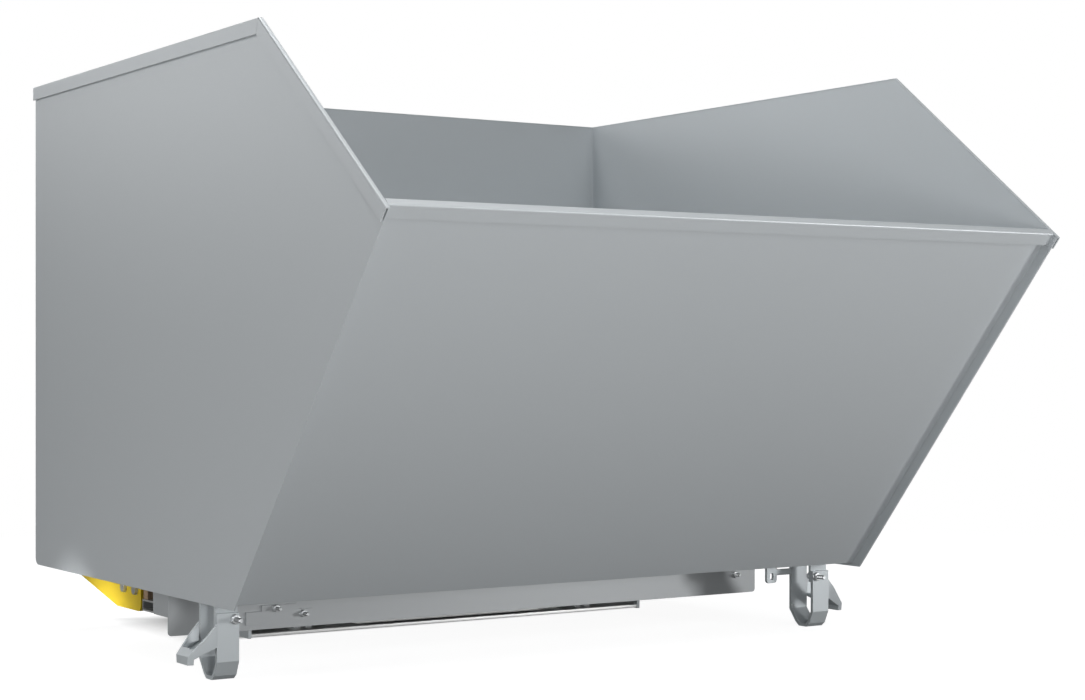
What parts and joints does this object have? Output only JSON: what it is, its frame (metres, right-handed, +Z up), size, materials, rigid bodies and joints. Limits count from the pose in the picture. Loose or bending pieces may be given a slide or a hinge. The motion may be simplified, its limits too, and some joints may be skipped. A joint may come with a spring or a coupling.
{
  "type": "self-dumping hopper",
  "caption": "Sheet steel bin with a sloping front and folded rims, hinged on a short base with fork pockets, front feet with stacking ears and a yellow latch lever.",
  "frame": {"origin": "on the ground under the middle of the whole object's box", "axes": "+X to the right seen from the lip, +Y from the lip to the back wall, +Z up"},
  "size_m": [1.69, 1.736, 1.281],
  "materials": {
    "bin_steel": "satin light bluish grey coat over smooth sheet",
    "frame_steel": "satin mid grey coat",
    "foot_steel": "satin light grey, brighter on worn edges",
    "galvanised": "bright galvanised, lightly clouded",
    "zinc_fasteners": "zinc plated",
    "lever_paint": "signal yellow powder coat",
    "buffer_rubber": "brown moulded rubber"
  },
  "bodies": {
    "base": {"left_fork_pocket": "frame_steel", "right_fork_pocket": "frame_steel", "front_beam": "galvanised", "beam_end_caps": "foot_steel", "rear_beam": "frame_steel", "cross_channel": "galvanised", "left_buffer": "buffer_rubber", "right_buffer": "buffer_rubber", "left_pivot_lugs": "frame_steel", "right_pivot_lugs": "frame_steel", "pivot_pins": "zinc_fasteners", "pivot_washers": "zinc_fasteners", "pivot_nuts": "zinc_fasteners", "left_skid": "frame_steel", "right_skid": "frame_steel", "shaft_bearings": "frame_steel", "outer_bearing": "frame_steel"},
    "bin": {"floor_sheet": "bin_steel", "front_sheet": "bin_steel", "back_sheet": "bin_steel", "left_side_sheet": "bin_steel", "right_side_sheet": "bin_steel", "left_top_rim": "bin_steel", "right_top_rim": "bin_steel", "left_mouth_rim": "bin_steel", "right_mouth_rim": "bin_steel", "back_rim": "bin_steel", "lip_rim": "bin_steel", "skirt_plate": "frame_steel", "left_end_plate": "frame_steel", "right_end_plate": "frame_steel", "left_hinge_cheek": "frame_steel", "right_hinge_cheek": "frame_steel", "left_outer_stiffener": "frame_steel", "left_inner_stiffener": "frame_steel", "right_inner_stiffener": "frame_steel", "right_outer_stiffener": "frame_steel", "left_foot_loop": "foot_steel", "right_foot_loop": "foot_steel", "left_foot_ear": "foot_steel", "right_foot_ear": "foot_steel", "left_foot_lug": "foot_steel", "right_foot_lug": "foot_steel", "foot_bolts": "zinc_fasteners", "skirt_bracket": "frame_steel", "skirt_bolts": "zinc_fasteners", "eye_lug": "foot_steel", "striker_bar": "zinc_fasteners", "striker_plates": "frame_steel"},
    "latch": {"latch_shaft": "zinc_fasteners", "latch_hook": "frame_steel", "lever_flange": "frame_steel", "release_lever": "lever_paint", "lever_bolts": "zinc_fasteners", "lever_nuts": "zinc_fasteners", "shaft_collars": "zinc_fasteners"}
  },
  "joints": [
    {"name": "bin_tip", "type": "hinge", "parent": "base", "child": "bin", "pos_m": [0, 0.174, 0.1], "axis": [1, 0, 0], "range_deg": [0, 90]},
    {"name": "latch_turn", "type": "hinge", "parent": "base", "child": "latch", "pos_m": [0, 0.44, 0.1], "axis": [1, 0, 0], "range_deg": [-20, 0]}
  ]
}
